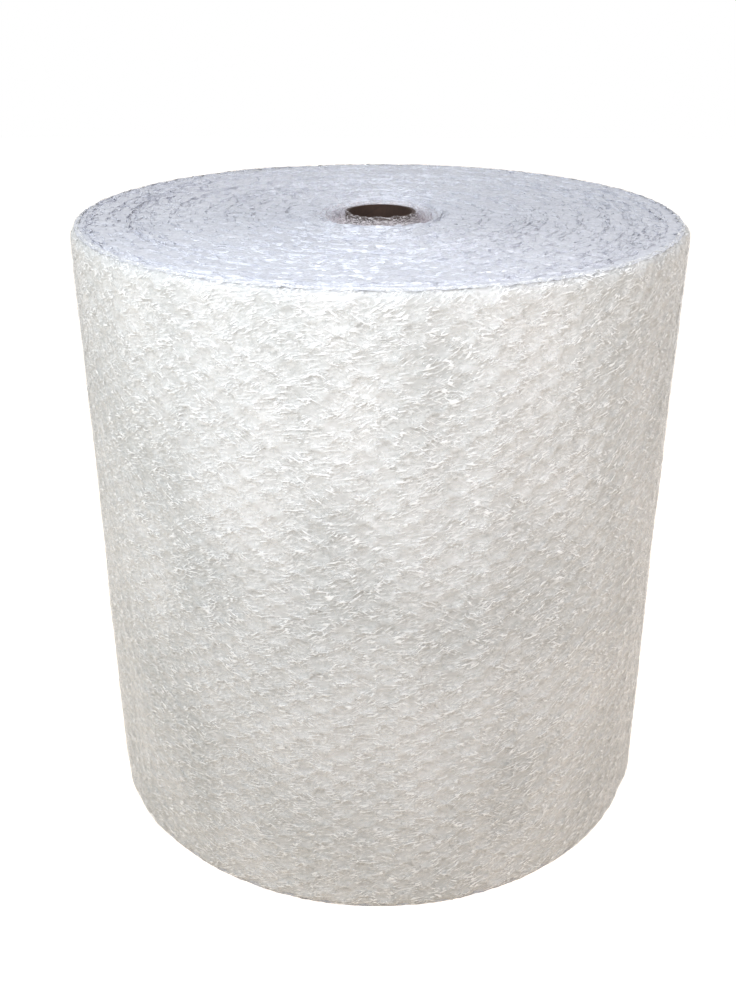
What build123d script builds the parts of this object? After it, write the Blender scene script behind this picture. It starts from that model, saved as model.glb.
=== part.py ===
"""Roll of large-bubble cushioning wrap, wound on a cardboard core and standing on its end.

Millimetres. +Z runs along the core's axis, and the origin is on that axis at the
roll's bottom end. The free end of the sheet lies at the back of the roll.
"""

import os
from math import cos, degrees, pi, radians, sin, tau

from build123d import *

# The sheet as it is wound
web_width = 750.0  # width of the sheet, which is the height of the standing roll
roll_radius = 364.0  # core axis to the bubble tops where the last turn is furthest out
turn_thickness = 8.0  # one turn: the bubbles are 10 mm high and pressed to 8 by the winding
free_end_angle = 112.0  # where the sheet ends, turned from +X about the axis
free_end_ramp = 40.0  # the last bubbles are cut open, so the sheet thins out over this
rim_radius = 12.0  # the soft slit edges of the outer turns fold over by this much

# The core
core_bore = 76.0  # inside diameter of a three inch core
core_wall = 4.0  # paper plies wound to a hard tube

# How closely the outline is drawn
turn_points = 36
ramp_points = 8

core_radius = core_bore / 2 + core_wall
ramp_angle = degrees(free_end_ramp / roll_radius)
turn_angle = 360.0 - ramp_angle


def outline_point(radius, turned):
    """A point at a radius and an angle in degrees from the free end, turned along the sheet."""
    angle = radians(free_end_angle + turned)
    return (radius * cos(angle), radius * sin(angle))


def last_turn_radius(share):
    """The last turn closes in on the axis evenly, by one thickness over the whole turn."""
    return roll_radius - turn_thickness * share


def ramp_radius(share):
    """The free end rises by one thickness in a half cosine wave, from the turn beneath it."""
    return roll_radius - turn_thickness * (1.0 + cos(pi * share)) / 2


os.makedirs("parts", exist_ok=True)

# Cardboard core: a plain tube cut square, as long as the sheet is wide.
with BuildPart() as core_tube:
    with BuildSketch(Plane.XY):
        Circle(core_radius)
        Circle(core_bore / 2, mode=Mode.SUBTRACT)
    extrude(amount=web_width)

# Wound sheet: the turns as one solid. Its outside is one turn of an Archimedean spiral,
# from the crest of the free end, all the way round and in under that end.
turn_shares = [k / turn_points for k in range(turn_points)]
ramp_shares = [k / ramp_points for k in range(ramp_points)]
turn_outline = [outline_point(last_turn_radius(s), ramp_angle + turn_angle * s) for s in turn_shares]
ramp_outline = [outline_point(ramp_radius(s), ramp_angle * s) for s in ramp_shares]
with BuildPart() as bubble_wrap:
    with BuildSketch(Plane.XY):
        with BuildLine():
            Spline(*turn_outline, *ramp_outline, periodic=True)
        make_face()
        Circle(core_radius, mode=Mode.SUBTRACT)
    extrude(amount=web_width)
    end_edges = bubble_wrap.faces().filter_by(Axis.Z).edges()
    rim_edges = end_edges.filter_by(lambda edge: edge.geom_type != GeomType.CIRCLE)
    fillet(rim_edges, rim_radius)

core_tube.part.label = "core_tube"
bubble_wrap.part.label = "bubble_wrap"
export_step(core_tube.part, "parts/core_tube.step")
export_step(bubble_wrap.part, "parts/bubble_wrap.step")

turns = (roll_radius - core_radius) / turn_thickness
sheet_length = turns * tau * (roll_radius + core_radius) / 2 / 1000.0
print(f"{turns:.1f} turns, {sheet_length:.1f} m of sheet")
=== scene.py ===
import math

import bmesh
import bpy
import numpy as np
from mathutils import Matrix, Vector


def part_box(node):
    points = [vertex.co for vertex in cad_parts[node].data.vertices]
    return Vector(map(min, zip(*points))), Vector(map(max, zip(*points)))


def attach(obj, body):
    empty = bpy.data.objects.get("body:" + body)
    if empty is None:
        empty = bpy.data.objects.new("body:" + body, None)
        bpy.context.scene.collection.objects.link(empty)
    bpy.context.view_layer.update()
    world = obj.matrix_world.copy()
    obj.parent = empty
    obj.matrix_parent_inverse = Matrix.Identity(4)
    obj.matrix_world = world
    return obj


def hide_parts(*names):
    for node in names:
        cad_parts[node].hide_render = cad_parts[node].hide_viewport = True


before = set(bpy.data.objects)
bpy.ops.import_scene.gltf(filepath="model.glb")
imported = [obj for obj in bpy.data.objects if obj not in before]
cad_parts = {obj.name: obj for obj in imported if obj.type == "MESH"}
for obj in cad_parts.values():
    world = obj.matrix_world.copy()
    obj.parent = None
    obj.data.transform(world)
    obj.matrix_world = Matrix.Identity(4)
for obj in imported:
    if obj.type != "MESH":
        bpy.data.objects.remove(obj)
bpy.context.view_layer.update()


# The last turn, flat film.
# The backing film of large-bubble wrap: clear polythene, wound with the bubbles inwards, so that
# this flat side is the roll's outside. It is puckered by the welds and folds in at both slit edges.
web_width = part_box("bubble_wrap")[1].z
roll_radius = 0.364
turn_thickness = 0.008
core_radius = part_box("core_tube")[1].x
free_end_angle = math.radians(112.0)
ramp_angle = 0.040 / roll_radius
fold_radius = 0.012
fold_sweep = math.radians(78.0)
free_end_lift = 0.0022
mean_radius = roll_radius - turn_thickness / 2
columns_per_turn = 96
column_step = 2 * math.pi / columns_per_turn
column_width = column_step * mean_radius
bubble_rows = 29
row_height = web_width / bubble_rows
fold_length = fold_radius * fold_sweep
sheet_height = web_width - 2 * fold_radius + 2 * fold_length
sheet_columns = 100
film_points_per_column = 5
film_points_high = 178
bubble_reach = 0.0125
band_height = 0.0014
sag_height = 0.0010
film_inset = 0.0012


def sheet_radius(turned):
    """The spiral: one thickness is lost evenly in each turn, and over the free end's ramp the
    radius rises by one thickness in a half cosine wave, with the cut edge lifted a little."""
    spiral = roll_radius - turn_thickness * (turned - ramp_angle) / (2 * math.pi - ramp_angle)
    share = np.clip(turned / ramp_angle, 0.0, 1.0)
    ramp = roll_radius - turn_thickness * (1 + np.cos(math.pi * share)) / 2
    lifted = ramp + free_end_lift * (1 - share) ** 2
    return np.where(turned < ramp_angle, lifted, spiral)


def soft_waves(x, y, wavelength, seed, count=9):
    """A smooth random field from -1 to 1: the mean of sine waves of about one wavelength, each
    with its own direction and phase."""
    rng = np.random.default_rng(seed)
    total = np.zeros(np.broadcast(x, y).shape)
    for _ in range(count):
        direction = rng.uniform(0, 2 * math.pi)
        number = 2 * math.pi / (wavelength * rng.uniform(0.7, 1.5))
        phase = rng.uniform(0, 2 * math.pi)
        total += np.sin(number * (x * math.cos(direction) + y * math.sin(direction)) + phase)
    return total / math.sqrt(count) / 1.4


def sheet_point(turned, along, depth):
    """A point of the last turn. The profile is a straight wall between two arcs that fold it
    inwards, and it is carried round the spiral. Depth is measured inwards, square to the
    profile. Upright bands and soft sags are added to the radius, and no point is below zero."""
    low = np.clip((fold_length - along) / fold_radius, 0.0, fold_sweep)
    high = np.clip((along - (sheet_height - fold_length)) / fold_radius, 0.0, fold_sweep)
    lean = low + high
    inset = fold_radius * (1 - np.cos(lean))
    wall = np.clip(along - fold_length, 0.0, web_width - 2 * fold_radius)
    height = fold_radius + wall + fold_radius * (np.sin(high) - np.sin(low))
    arc = turned * mean_radius
    bands = band_height * soft_waves(arc, along * 0.12, 0.09, 3)
    sag = sag_height * soft_waves(arc, along, 0.16, 4)
    radius = sheet_radius(turned) - inset - depth * np.cos(lean) + bands + sag - film_inset
    height = np.maximum(height + depth * (np.sin(low) - np.sin(high)), 0.0)
    angle = free_end_angle + turned
    return np.stack([radius * np.cos(angle), radius * np.sin(angle), height], axis=-1)


def bubble_share(turned, along):
    """How far a point lies from the nearest bubble's middle, as a share of the bubble's radius.
    Bubbles stand in columns, and every other column is moved up by half a row."""
    nearest = np.full(np.broadcast(turned, along).shape, 9.0)
    column = np.floor(turned / column_step)
    for near_column in (column - 1, column, column + 1):
        shift = np.mod(near_column, 2) * 0.5
        row = np.round(along / row_height - shift)
        across = (turned / column_step - near_column - 0.5) * column_width
        up = along - (row + shift) * row_height
        nearest = np.minimum(nearest, np.hypot(across, up) / bubble_reach)
    return nearest


def grid_faces(rows, columns):
    """Quads of a grid whose points are stored row by row."""
    first = (np.arange(rows - 1)[:, None] * columns + np.arange(columns - 1)).ravel()
    return np.stack([first, first + 1, first + columns + 1, first + columns], axis=1)


def add_piece(name, points, faces, material, uv=None, welded=None):
    """Puts arrays of points and faces into a smooth mesh that rides on the roll, and joins points
    that lie on each other. Its material reads the value at each point as "welded"; the film's
    material crowds its painted glint lines where that value is high."""
    mesh = bpy.data.meshes.new(name)
    mesh.from_pydata(points.reshape(-1, 3).tolist(), [], faces)
    if uv is not None:
        layer = mesh.uv_layers.new(name="UVMap")
        corners = np.zeros(len(mesh.loops), np.int32)
        mesh.loops.foreach_get("vertex_index", corners)
        layer.data.foreach_set("uv", uv.reshape(-1, 2)[corners].astype(np.float32).ravel())
    if welded is not None:
        layer = mesh.attributes.new("welded", "FLOAT", "POINT")
        layer.data.foreach_set("value", welded.astype(np.float32).ravel())
    mesh.polygons.foreach_set("use_smooth", np.ones(len(mesh.polygons), bool))
    mesh.materials.append(material)
    work = bmesh.new()
    work.from_mesh(mesh)
    bmesh.ops.remove_doubles(work, verts=work.verts, dist=1e-6)
    work.to_mesh(mesh)
    work.free()
    piece = bpy.data.objects.new(name, mesh)
    bpy.context.scene.collection.objects.link(piece)
    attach(piece, "root")
    return piece


def new_material(name):
    """A material with one Principled shader, and its node tree."""
    material = bpy.data.materials.new(name)
    material.use_nodes = True
    tree = material.node_tree
    return material, tree, tree.nodes["Principled BSDF"]


def add_node(tree, kind, **values):
    """A node with its settings. A value whose name is a socket's goes to that socket."""
    node = tree.nodes.new(kind)
    for key, value in values.items():
        if hasattr(node, key):
            setattr(node, key, value)
        else:
            node.inputs[key.replace("_", " ")].default_value = value
    return node


def noise(tree, vector, size, detail=2.0, turn=0.0, distortion=0.0):
    """Noise from 0 to 1 whose features have a size in metres along and across, and are turned."""
    mapping = add_node(tree, "ShaderNodeMapping", vector_type="TEXTURE")
    mapping.inputs["Scale"].default_value = size
    mapping.inputs["Rotation"].default_value = (0.0, 0.0, turn)
    texture = add_node(tree, "ShaderNodeTexNoise")
    texture.inputs["Scale"].default_value = 1.0
    texture.inputs["Detail"].default_value = detail
    texture.inputs["Distortion"].default_value = distortion
    tree.links.new(vector, mapping.inputs["Vector"])
    tree.links.new(mapping.outputs["Vector"], texture.inputs["Vector"])
    return texture.outputs["Fac"]


def math_node(tree, operation, first, second=0.0, clamp=False):
    """One sum of two sockets or numbers."""
    node = add_node(tree, "ShaderNodeMath", operation=operation, use_clamp=clamp)
    for socket, value in zip(node.inputs, (first, second)):
        if isinstance(value, (int, float)):
            socket.default_value = value
        else:
            tree.links.new(value, socket)
    return node.outputs["Value"]


def rising(tree, value, start, end):
    """0 up to a start value, 1 from an end value, and even between them."""
    return math_node(tree, "DIVIDE", math_node(tree, "SUBTRACT", value, start), end - start, True)


def raised(tree, base, value, gain, clamp=False):
    """A base number or socket, plus a value times its gain."""
    return math_node(tree, "ADD", base, math_node(tree, "MULTIPLY", value, gain), clamp)


def weighted(tree, first, first_weight, second, second_weight):
    """Two values, each times its weight, added together."""
    return raised(tree, math_node(tree, "MULTIPLY", first, first_weight), second, second_weight)


def color_ramp(tree, value, low_place, low_color, high_place, high_color):
    """One colour up to a low value, another from a high value, and even between them."""
    node = add_node(tree, "ShaderNodeValToRGB")
    ends = zip(node.color_ramp.elements, (low_place, high_place), (low_color, high_color))
    for element, place_on_ramp, color in ends:
        element.position = place_on_ramp
        element.color = (*color, 1.0)
    tree.links.new(value, node.inputs["Fac"])
    return node.outputs["Color"]


def add_bump(tree, shader, height, strength, distance):
    """Fine relief on a shader from a height."""
    bump = add_node(tree, "ShaderNodeBump", Strength=strength, Distance=distance)
    tree.links.new(height, bump.inputs["Height"])
    tree.links.new(bump.outputs["Normal"], shader.inputs["Normal"])


def strongest(tree, *values):
    """The largest of several sockets."""
    most = values[0]
    for value in values[1:]:
        most = math_node(tree, "MAXIMUM", most, value)
    return most


film, tree, shader = new_material("clear film")
place = add_node(tree, "ShaderNodeUVMap", uv_map="UVMap").outputs["UV"]
level_creases = rising(tree, noise(tree, place, (0.0125, 0.0024, 1.0), 1.5, 0.14, 0.3), 0.56, 0.63)
falling_noise = noise(tree, place, (0.0095, 0.0023, 1.0), 1.5, -0.50, 0.4)
falling_creases = rising(tree, falling_noise, 0.56, 0.63)
rising_creases = rising(tree, noise(tree, place, (0.0095, 0.0023, 1.0), 1.5, 0.60, 0.4), 0.56, 0.63)
fine_creases = rising(tree, noise(tree, place, (0.0062, 0.0020, 1.0), 1.0, 0.30, 0.5), 0.58, 0.64)
choice = noise(tree, place, (0.050, 0.035, 1.0), 2.0)
level_part = rising(tree, choice, 0.40, 0.50)
slant_part = rising(tree, choice, 0.60, 0.50)
clusters = rising(tree, noise(tree, place, (0.022, 0.014, 1.0), 2.0), 0.34, 0.54)
patches = noise(tree, place, (0.018, 0.010, 1.0), 3.0)
slant_way = rising(tree, noise(tree, place, (0.060, 0.040, 1.0), 1.0, 0.8), 0.47, 0.53)
falling_creases = math_node(tree, "MULTIPLY", falling_creases, slant_way)
other_way = math_node(tree, "SUBTRACT", 1.0, slant_way)
rising_creases = math_node(tree, "MULTIPLY", rising_creases, other_way)
slants = strongest(tree, falling_creases, rising_creases)
# The crease lines turn the film opaque white: partly the whitened film at real creases, partly
# painted glints.
creases_and_painted_glints = strongest(
    tree,
    math_node(tree, "MULTIPLY", level_creases, level_part),
    math_node(tree, "MULTIPLY", slants, slant_part),
    math_node(tree, "MULTIPLY", fine_creases, 0.75),
)
# Near the welds the lines are crowded: painted bright lines between the bubbles.
welded = add_node(tree, "ShaderNodeAttribute", attribute_name="welded").outputs["Fac"]
glints_painted_at_welds = raised(tree, 0.48, welded, 0.56)
creases_and_painted_glints = math_node(tree, "MULTIPLY", math_node(tree, "MULTIPLY", creases_and_painted_glints, clusters), glints_painted_at_welds, True)
haze = raised(tree, 0.08, patches, 0.38)
# The cover is the milky haze plus the white crease lines, which are partly painted glints.
cover = raised(tree, haze, creases_and_painted_glints, 0.95, True)
tree.links.new(cover, shader.inputs["Alpha"])
shader.inputs["Base Color"].default_value = (0.95, 0.95, 0.945, 1.0)
tree.links.new(raised(tree, 0.08, patches, 0.18), shader.inputs["Roughness"])
shader.inputs["IOR"].default_value = 1.5
shader.inputs["Specular IOR Level"].default_value = 0.6
add_bump(tree, shader, raised(tree, patches, creases_and_painted_glints, 0.6), 0.8, 0.0010)

film_steps = sheet_columns * film_points_per_column
turned = np.linspace(0.0, sheet_columns * column_step, film_steps + 1)[None, :]
along = np.linspace(0.0, sheet_height, film_points_high)[:, None]
share = bubble_share(turned, along)
pillow = np.clip(1 - share ** 2, 0, 1)
welds = np.clip((share - 0.5) / 0.5, 0, 1)
rng = np.random.default_rng(11)
pucker = rng.normal(0.0, 0.00020, pillow.shape)
depth = 0.0003 * pillow + pucker - 0.0005
points = sheet_point(turned, along, depth)
uv = np.stack(np.broadcast_arrays(turned * mean_radius, along), axis=-1)
faces = grid_faces(*pillow.shape).tolist()
flat_film = add_piece("flat_film", points, faces, film, uv, welds)
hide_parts("bubble_wrap")


# The last turn, bubbles.
# The bubble film: 25 mm domes drawn by vacuum and welded to the flat film between them. They
# point inwards and are pressed by the turns, and those at the free end are cut and flat.
bubble_radius = 0.0122
bubble_depth = 0.0032
half_row = row_height / 2
corner_x = (column_width ** 2 - half_row ** 2) / (2 * column_width)
point_x = (column_width ** 2 + half_row ** 2) / (2 * column_width)
corners = np.array([
    [point_x, 0.0], [corner_x, half_row], [-corner_x, half_row],
    [-point_x, 0.0], [-corner_x, -half_row], [corner_x, -half_row],
])
rim = np.empty((12, 2))
rim[0::2] = corners
rim[1::2] = (corners + np.roll(corners, -1, axis=0)) / 2
rim_direction = rim / np.linalg.norm(rim, axis=1, keepdims=True)


def bubble_sheet(first_column, last_column):
    """Six-sided cells, each with a dome. A cell is a middle point, three rings of twelve points
    and its six-sided edge. The rings' depths follow a blunt dome, deepest over its middle half."""
    columns, rows = np.arange(first_column, last_column), np.arange(-1, bubble_rows + 2)
    column, row = np.meshgrid(columns, rows, indexing="ij")
    column, row = column.ravel(), row.ravel()
    middle_along = (row + 0.5 * np.mod(column, 2)) * row_height
    reaches = np.array([0.0, 0.5, 0.84, 1.0])
    depths = np.array([1.0, 0.93, 0.60, 0.0])
    rng = np.random.default_rng(21)
    every = rng.uniform(0.72, 1.08, (100, 40))
    fullness = every[column, row + 1]
    off_middle = rng.normal(0.0, 0.0012, (100, 40, 2))[column, row + 1]
    rings = reaches[1:, None, None] * bubble_radius * rim_direction
    local = np.concatenate([np.zeros((1, 2)), rings.reshape(-1, 2), rim])
    share = np.concatenate([depths[:1], np.repeat(depths[1:], 12), np.zeros(12)])
    shift = share[None, :, None] * off_middle[:, None, :]
    x = (column[:, None] + 0.5) * column_width + local[None, :, 0] + shift[..., 0]
    along = middle_along[:, None] + local[None, :, 1] + shift[..., 1]
    turned = np.clip(x / mean_radius, 0.0, sheet_columns * column_step)
    along = np.clip(along, 0.0, sheet_height)
    room = np.clip(turned / ramp_angle, 0.0, 1.0) ** 1.5
    depth = 0.0006 + bubble_depth * share[None, :] * fullness[:, None] * room
    points = sheet_point(turned, along, depth)
    k = np.arange(12)
    after = (k + 1) % 12
    fan = np.stack([np.zeros(12, int), 1 + k, 1 + after], axis=1)
    bands = [np.stack([r + k, r + 12 + k, r + 12 + after, r + after], axis=1) for r in (1, 13, 25)]
    start = (np.arange(len(column)) * len(local))[:, None, None]
    triangles = (fan[None] + start).reshape(-1, 3)
    quads = (np.concatenate(bands)[None] + start).reshape(-1, 4)
    flat = np.stack([x, along], axis=-1).reshape(-1, 2)
    tall = np.ptp(flat[triangles][..., 1], axis=1) > 1e-6
    tall_quads = np.ptp(flat[quads][..., 1], axis=1) > 1e-6
    faces = triangles[tall].tolist() + quads[tall_quads].tolist()
    uv = np.stack([turned * mean_radius, along], axis=-1)
    return points, faces, uv


milk, tree, shader = new_material("bubble film over many turns")
place = add_node(tree, "ShaderNodeUVMap", uv_map="UVMap").outputs["UV"]
cloud = noise(tree, place, (0.10, 0.16, 1.0), 3.0)
flecks = noise(tree, place, (0.007, 0.004, 1.0), 3.0, 0.2, 0.4)
mixed = weighted(tree, cloud, 0.45, flecks, 0.55)
milky = color_ramp(tree, mixed, 0.34, (0.42, 0.425, 0.405), 0.62, (0.78, 0.765, 0.745))
tree.links.new(milky, shader.inputs["Base Color"])
shader.inputs["Roughness"].default_value = 0.50
add_bump(tree, shader, flecks, 0.6, 0.0012)

for name, first, last in (("bubbles_1", 0, 50), ("bubbles_2", 50, 100)):
    points, faces, uv = bubble_sheet(first, last)
    bubbles = add_piece(name, points, faces, milk, uv)
    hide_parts("bubble_wrap")


# Ends of the turns.
# Forty slit edges of the sheet show at each end. Every turn has the edge of its flat film and the
# ragged edge of its bubble film, where the knife went through bubbles and the air has left them.
edge_depth = 0.008
turns_wound = (roll_radius - core_radius) / turn_thickness
first_turned = 2 * math.pi * 1.12
clear_turns = 4.4
last_turned = 2 * math.pi * (turns_wound - clear_turns)


def end_faces(rows, columns, upper):
    """Faces of a grid that lies at one end. Those of the upper end are turned round."""
    faces = grid_faces(rows, columns)
    return (faces[:, ::-1] if upper else faces).tolist()


def turns_at_even_steps(step):
    """Angles along the spiral at even steps of length. The length from the outside grows as the
    spiral's mean radius times the angle, which is solved on a table."""
    table = np.linspace(first_turned, last_turned, 20000)
    radius = roll_radius - turn_thickness * table / (2 * math.pi)
    length = np.concatenate([[0.0], np.cumsum(radius[:-1] * np.diff(table))])
    even = np.arange(0.0, length[-1], step)
    return np.interp(even, length, table), even


def end_height(turned):
    """How far the edge lies below the end of the roll: each turn is wound a little off."""
    return 0.0009 + 0.0008 * soft_waves(turned * 0.9, turned * 0.0, 2.4, 31)


def film_edge(step, outward, inward, seed, upper):
    """A strip standing on the spiral, four points high. Its radius swings between two depths in
    the turn with soft waves and random steps, more at the edge than below it."""
    turned, length = turns_at_even_steps(step)
    rng = np.random.default_rng(seed)
    radius = roll_radius - turn_thickness * turned / (2 * math.pi)
    share = np.array([0.0, 0.22, 0.55, 1.0])[:, None]
    swing = soft_waves(length, length * 0.0, 0.014, seed)
    fine = rng.normal(0.0, 1.0, (4, len(turned)))
    middle = (outward + inward) / 2
    amount = (inward - outward) / 2
    depth = middle + amount * swing[None, :] * (1.0 - 0.4 * share)
    depth = depth + 0.0010 * fine * (1 - 0.7 * share)
    at = radius[None, :] - depth
    at = np.maximum(at, core_radius + 0.0006)
    low = end_height(turned)[None, :] + edge_depth * share
    low = low + np.abs(rng.normal(0.0, 0.0009, (1, len(turned)))) * (1 - share)
    height = web_width - low if upper else low
    angle = free_end_angle + turned[None, :] + rng.normal(0.0, 0.0006, at.shape) / at
    height = np.broadcast_to(height, at.shape)
    points = np.stack([at * np.cos(angle), at * np.sin(angle), height], axis=-1)
    return points, end_faces(4, len(turned), upper)


slit, tree, shader = new_material("slit film edges")
place = add_node(tree, "ShaderNodeTexCoord").outputs["Object"]
grain = noise(tree, place, (0.0034, 0.0034, 0.0034), 3.0)
cloud = noise(tree, place, (0.045, 0.045, 0.045), 2.0)
crinkles = strongest(
    tree,
    rising(tree, noise(tree, place, (0.0075, 0.0017, 0.006), 1.5, 0.2, 0.4), 0.56, 0.64),
    rising(tree, noise(tree, place, (0.0075, 0.0017, 0.006), 1.5, 1.2, 0.4), 0.57, 0.65),
    rising(tree, noise(tree, place, (0.0075, 0.0017, 0.006), 1.5, -0.9, 0.4), 0.57, 0.65),
)
specks = rising(tree, noise(tree, place, (0.0042, 0.0042, 0.0042), 1.0), 0.66, 0.72)
mixed = weighted(tree, cloud, 0.35, grain, 0.65)
mixed = raised(tree, mixed, crinkles, 0.18)
mixed = math_node(tree, "SUBTRACT", mixed, math_node(tree, "MULTIPLY", specks, 0.22))
# The cool blue cast of this colour is painted light, standing for the cool light from above on the
# end; grain, crinkles and specks are the edges' own marks.
edge_color_with_painted_cool_light = color_ramp(tree, mixed, 0.10, (0.48, 0.485, 0.55), 0.95, (0.765, 0.77, 0.80))
apart = add_node(tree, "ShaderNodeSeparateXYZ")
tree.links.new(place, apart.inputs["Vector"])
squares = [math_node(tree, "POWER", apart.outputs[axis], 2.0) for axis in ("X", "Y")]
from_axis = math_node(tree, "SQRT", math_node(tree, "ADD", *squares))
ragged = raised(tree, from_axis, grain, 0.026)
near_core = rising(tree, ragged, core_radius + 0.038, core_radius + 0.010)
through = add_node(tree, "ShaderNodeMix", data_type="RGBA")
tree.links.new(math_node(tree, "MULTIPLY", near_core, 0.85), through.inputs["Factor"])
tree.links.new(edge_color_with_painted_cool_light, through.inputs["A"])
through.inputs["B"].default_value = (0.30, 0.15, 0.15, 1.0)
tree.links.new(through.outputs["Result"], shader.inputs["Base Color"])
shader.inputs["Roughness"].default_value = 0.25
add_bump(tree, shader, grain, 0.7, 0.001)

for end, upper, seed in (("upper", True, 41), ("lower", False, 51)):
    points, faces = film_edge(0.0060, 0.0004, 0.0014, seed, upper)
    edge = add_piece(f"flat_edges_{end}", points, faces, slit)
    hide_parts("bubble_wrap")
    points, faces = film_edge(0.0038, 0.0006, 0.0080, seed + 1, upper)
    edge = add_piece(f"bubble_edges_{end}", points, faces, slit)
    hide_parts("bubble_wrap")


# First turns.
# Next to the core the sheet is slack and its edges stand clear of each other, so the board shows
# through the plain film. The innermost edge is crushed here and there over the board's end.
clear_slit, tree, shader = new_material("clear slit film")
place = add_node(tree, "ShaderNodeTexCoord").outputs["Object"]
slack = strongest(
    tree,
    rising(tree, noise(tree, place, (0.006, 0.0035, 0.0016), 1.5, 0.3, 0.5), 0.55, 0.64),
    rising(tree, noise(tree, place, (0.0035, 0.006, 0.0014), 1.5, -0.8, 0.5), 0.56, 0.65),
)
veil = noise(tree, place, (0.007, 0.007, 0.007), 2.0)
cover = raised(tree, math_node(tree, "MULTIPLY", veil, 0.22), slack, 0.50, True)
tree.links.new(cover, shader.inputs["Alpha"])
shader.inputs["Base Color"].default_value = (0.88, 0.82, 0.83, 1.0)
tree.links.new(raised(tree, 0.10, veil, 0.2), shader.inputs["Roughness"])
add_bump(tree, shader, math_node(tree, "ADD", slack, veil), 0.8, 0.001)

around_slack = 900
around_mouth = 241
for end, upper, seed in (("upper", True, 71), ("lower", False, 72)):
    rng = np.random.default_rng(seed)
    turned = np.linspace(last_turned, 2 * math.pi * (turns_wound - 0.12), around_slack)[None, :]
    share = np.linspace(0.0, 1.0, 5)[:, None]
    spiral = roll_radius - turn_thickness * turned / (2 * math.pi)
    swing = 0.0016 * soft_waves(turned * 0.06, share * 0.02, 0.016, seed)
    radius = spiral - 0.002 + swing + rng.normal(0.0, 0.0004, (5, around_slack))
    radius = np.maximum(radius, core_radius + 0.0006)
    edge = 0.0012 + 0.0009 * soft_waves(turned * 0.06, turned * 0.0, 0.02, seed + 4)
    low = edge + 0.016 * share + np.abs(rng.normal(0.0, 0.0007, (1, around_slack))) * (1 - share)
    height = web_width - low if upper else low
    angle = free_end_angle + turned
    x, y, height = np.broadcast_arrays(radius * np.cos(angle), radius * np.sin(angle), height)
    points = np.stack([x, y, height], axis=-1)
    faces = end_faces(5, around_slack, upper)
    first_turns = add_piece(f"first_turns_{end}", points, faces, clear_slit)
    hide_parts("bubble_wrap")

    angle = np.linspace(0.0, 2 * math.pi, around_mouth)[None, :]
    share = np.array([0.0, 0.35, 0.7, 1.0])[:, None]
    around = (np.cos(angle) * 0.04, np.sin(angle) * 0.04)
    crushed = np.clip(0.3 + soft_waves(*around, 0.018, seed + 8), 0.0, 1.0)
    radius = core_radius - 0.0034 * crushed * (1 - share) + 0.0008 + 0.0012 * share
    radius = radius + rng.normal(0.0, 0.00025, radius.shape)
    lift = 0.0004 + 0.0009 * crushed + np.abs(rng.normal(0.0, 0.0004, radius.shape))
    rise = np.where(share < 0.5, lift, 0.0004 - 0.006 * share)
    radius[:, -1] = radius[:, 0]
    rise[:, -1] = rise[:, 0]
    height = web_width + rise if upper else np.maximum(-rise, 0.0004)
    points = np.stack([radius * np.cos(angle), radius * np.sin(angle), height], axis=-1)
    faces = end_faces(4, around_mouth, upper)
    frill = add_piece(f"crushed_edge_{end}", points, faces, clear_slit)
    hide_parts("bubble_wrap")


# Inside of the roll, as far as it is seen between the slit edges.
# Many turns of clear film scatter the light until they look milky, so a soft uneven bed closes
# the roll at both ends, and it dips around the core with the turns.
bed_rings = 75
around_bed = 451
dip_reach = 0.045
for end, upper in (("upper", True), ("lower", False)):
    angle = np.linspace(0.0, 2 * math.pi, around_bed)[None, :]
    share = np.linspace(0.0, 1.0, bed_rings)[:, None]
    turned = np.mod(angle - free_end_angle, 2 * math.pi)
    outer = sheet_radius(turned + ramp_angle) - 0.006
    radius = core_radius + 0.0002 + (outer - core_radius) * share
    x = radius * np.cos(angle)
    y = radius * np.sin(angle)
    dip = np.clip(1 - (radius - core_radius) / dip_reach, 0, 1) ** 1.7
    low = 0.0012 + 0.0175 * dip + 0.0006 * soft_waves(x, y, 0.02, 61)
    crumple = np.random.default_rng(62).normal(0.0, 0.0008, low.shape)
    crumple[:, -1] = crumple[:, 0]
    low = low + np.abs(crumple)
    height = web_width - low if upper else low
    points = np.stack([x, y, height], axis=-1)
    faces = end_faces(bed_rings, around_bed, upper)
    bed = add_piece(f"turns_below_{end}", points, faces, slit)
    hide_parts("bubble_wrap")


# Core.
# Brown kraft paper plies, glued and wound in a spiral to a hard tube and cut square. The plies'
# butt seam runs round the tube as a fine line. The board's colour is painted far darker than
# kraft board is: painted shade, so that the bore reads dark.
card, tree, shader = new_material("kraft core board darkened as shade")
place = add_node(tree, "ShaderNodeTexCoord").outputs["Object"]
fibre = noise(tree, place, (0.0024, 0.0024, 0.007), 4.0)
blotch = noise(tree, place, (0.03, 0.03, 0.03), 2.0)
apart = add_node(tree, "ShaderNodeSeparateXYZ")
tree.links.new(place, apart.inputs["Vector"])
turn = math_node(tree, "ARCTAN2", apart.outputs["Y"], apart.outputs["X"])
height_share = math_node(tree, "DIVIDE", apart.outputs["Z"], 0.13)
rise = math_node(tree, "ADD", math_node(tree, "DIVIDE", turn, 2 * math.pi), height_share)
ply_share = math_node(tree, "FRACT", math_node(tree, "ADD", rise, 8.0))
lap = math_node(tree, "LESS_THAN", ply_share, 0.012)
mixed = weighted(tree, blotch, 0.5, fibre, 0.5)
mixed = math_node(tree, "SUBTRACT", mixed, math_node(tree, "MULTIPLY", lap, 0.15))
# This brown is painted shade: far darker than kraft board, so that it stands for the dark inside of
# the bore.
brown_darkened_as_shade = color_ramp(tree, mixed, 0.32, (0.020, 0.0085, 0.005), 0.66, (0.040, 0.018, 0.010))
tree.links.new(brown_darkened_as_shade, shader.inputs["Base Color"])
shader.inputs["Roughness"].default_value = 0.85
add_bump(tree, shader, math_node(tree, "SUBTRACT", fibre, lap), 0.5, 0.0006)
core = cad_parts["core_tube"]
core.data.materials.clear()
core.data.materials.append(card)


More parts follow.
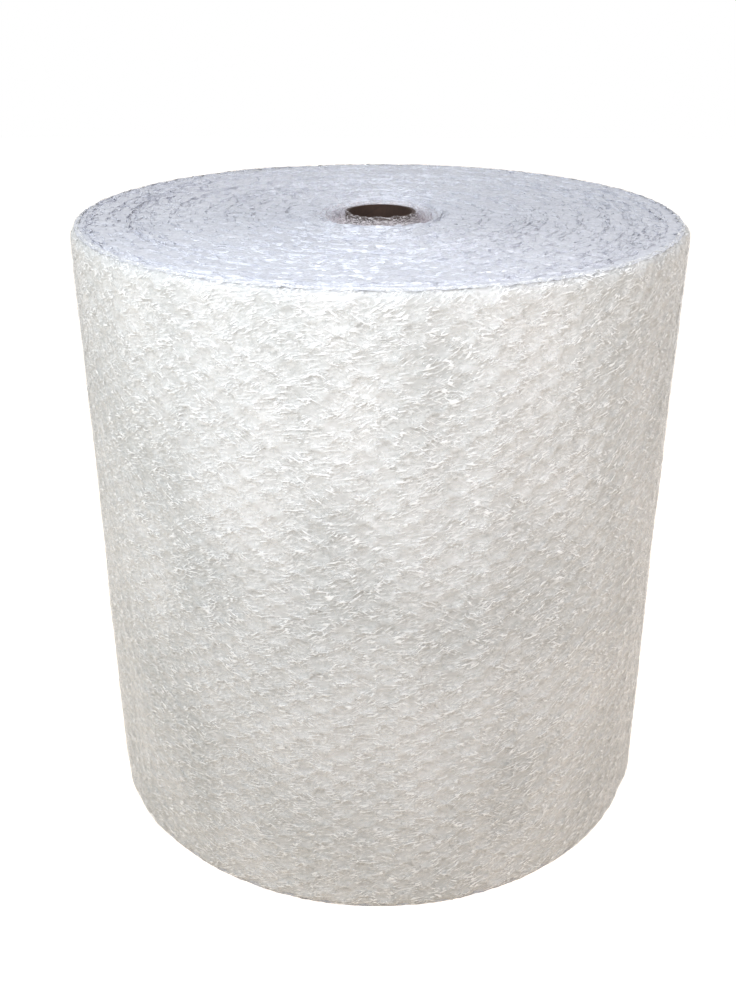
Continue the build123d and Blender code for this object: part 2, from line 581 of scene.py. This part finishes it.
# Floor.
# A plain pale floor that reads as white, and still takes the roll's soft shadow.
def seen_rays(tree):
    """1 for rays from the camera, from a reflection or through clear material, and 0 otherwise."""
    paths = add_node(tree, "ShaderNodeLightPath").outputs
    kinds = [paths[f"Is {kind} Ray"] for kind in ("Camera", "Glossy", "Transmission")]
    return strongest(tree, *kinds)


floor_paint, tree, shader = new_material("floor paint")
seen = seen_rays(tree)
shader.inputs["Base Color"].default_value = (0.77, 0.635, 0.48, 1.0)
shader.inputs["Roughness"].default_value = 1.0
shader.inputs["Specular IOR Level"].default_value = 0.0
shader.inputs["Emission Color"].default_value = (1.0, 1.0, 1.0, 1.0)
tree.links.new(math_node(tree, "MULTIPLY", seen, 0.93), shader.inputs["Emission Strength"])
reach = 6.0
corners_x, corners_y = np.meshgrid([-reach, reach], [-reach, reach])
mesh = bpy.data.meshes.new("floor")
floor_points = np.stack([corners_x, corners_y, np.full((2, 2), -0.0006)], axis=-1)
mesh.from_pydata(floor_points.reshape(-1, 3).tolist(), [], grid_faces(2, 2).tolist())
mesh.materials.append(floor_paint)
floor = bpy.data.objects.new("floor", mesh)
bpy.context.scene.collection.objects.link(floor)


# Light and camera.
# An even pale surround, warmer from below, and soft lamps: the key high at the front, one at each
# side, a cool one overhead and one behind the roll.
world = bpy.data.worlds.new("surround")
bpy.context.scene.world = world
world.use_nodes = True
tree = world.node_tree
seen = seen_rays(tree)
direction = add_node(tree, "ShaderNodeTexCoord").outputs["Generated"]
apart = add_node(tree, "ShaderNodeSeparateXYZ")
tree.links.new(direction, apart.inputs["Vector"])
upward = raised(tree, 0.5, apart.outputs["Z"], 0.5)
sky = color_ramp(tree, upward, 0.35, (0.88, 0.69, 0.48), 0.75, (0.82, 0.87, 1.0))
surround = tree.nodes["Background"]
tree.links.new(sky, surround.inputs["Color"])
surround.inputs["Strength"].default_value = 0.40
white = add_node(tree, "ShaderNodeBackground", Color=(1.0, 1.0, 1.0, 1.0), Strength=1.0)
choose = add_node(tree, "ShaderNodeMixShader")
tree.links.new(seen, choose.inputs["Fac"])
tree.links.new(surround.outputs["Background"], choose.inputs[1])
tree.links.new(white.outputs["Background"], choose.inputs[2])
tree.links.new(choose.outputs["Shader"], tree.nodes["World Output"].inputs["Surface"])


def add_lamp(name, place, aim, size, spread, power, color):
    """A square soft lamp at a place, turned to an aim point, with its beam spread in degrees."""
    light = bpy.data.lights.new(name, "AREA")
    light.size = size
    light.spread = math.radians(spread)
    light.energy = power
    light.color = color
    lamp = bpy.data.objects.new(name, light)
    lamp.location = place
    lamp.rotation_euler = (Vector(aim) - Vector(place)).to_track_quat("-Z", "Y").to_euler()
    bpy.context.scene.collection.objects.link(lamp)


add_lamp("key", (-0.36, -1.22, 1.36), (0.0, 0.0, 0.72), 0.4, 116.0, 5.6, (0.89, 0.94, 1.0))
add_lamp("right", (1.3, -1.1, 1.25), (0.0, 0.0, 0.6), 0.25, 180.0, 9.6, (1.0, 0.97, 0.93))
add_lamp("left", (-1.45, -1.0, 1.2), (0.0, 0.0, 0.5), 0.2, 180.0, 7.4, (0.94, 1.0, 0.97))
add_lamp("overhead", (0.1, 0.5, 2.2), (0.0, 0.0, 0.75), 0.4, 180.0, 4.2, (0.92, 0.94, 1.0))
add_lamp("back", (0.0, 1.7, 0.42), (0.0, 0.0, 0.4), 0.5, 180.0, 17.0, (1.0, 0.98, 0.96))

camera = bpy.data.cameras.new("camera")
camera.lens = 41.79
camera.sensor_width = 36.0
camera_object = bpy.data.objects.new("camera", camera)
camera_object.location = (0.0, -1.3729, 1.0234)
camera_object.rotation_euler = (math.radians(90.0 - 25.05), 0.0, 0.01072)
bpy.context.scene.collection.objects.link(camera_object)
bpy.context.scene.camera = camera_object
bpy.context.scene.view_settings.view_transform = "Standard"
